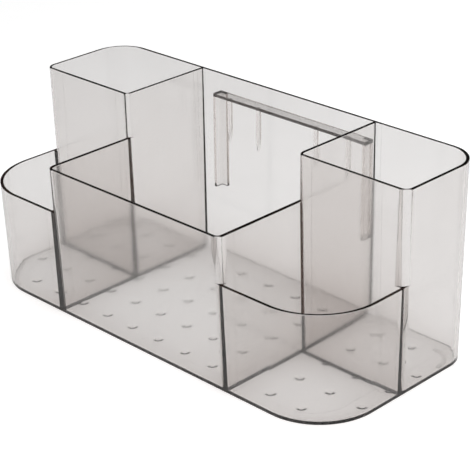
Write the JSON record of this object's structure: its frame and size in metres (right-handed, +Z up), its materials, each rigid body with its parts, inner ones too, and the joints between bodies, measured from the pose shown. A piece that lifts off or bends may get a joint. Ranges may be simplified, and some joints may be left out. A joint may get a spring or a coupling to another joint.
{
  "type": "makeup storage box",
  "caption": "Clear rounded tabletop box with a wide centre bin between tall rear towers and low front cups, for make-up and brushes.",
  "frame": {"origin": "middle of the underside, on the surface the box stands on, centred between its moulded sides", "axes": "+X to the right along the front, +Y from the front to the back wall, +Z up"},
  "size_m": [0.26, 0.1193, 0.1086],
  "materials": {
    "clear_plastic": "clear, polished, very faintly grey"
  },
  "bodies": {
    "root": {"back_wall": "clear_plastic", "bin_floor": "clear_plastic", "front_left_foot": "clear_plastic", "front_right_foot": "clear_plastic", "front_wall": "clear_plastic", "hanger_ledge": "clear_plastic", "hanger_rib_1": "clear_plastic", "hanger_rib_2": "clear_plastic", "hanger_rib_3": "clear_plastic", "hanger_rib_4": "clear_plastic", "left_cup_floor": "clear_plastic", "left_cup_wall": "clear_plastic", "left_divider": "clear_plastic", "left_hanger_rail": "clear_plastic", "left_tower_floor": "clear_plastic", "left_tower_front_wall": "clear_plastic", "left_tower_inner_wall": "clear_plastic", "left_tower_outer_wall": "clear_plastic", "rear_left_foot": "clear_plastic", "rear_right_foot": "clear_plastic", "right_cup_floor": "clear_plastic", "right_cup_wall": "clear_plastic", "right_divider": "clear_plastic", "right_hanger_rail": "clear_plastic", "right_tower_floor": "clear_plastic", "right_tower_front_wall": "clear_plastic", "right_tower_inner_wall": "clear_plastic", "right_tower_outer_wall": "clear_plastic"}
  },
  "joints": []
}
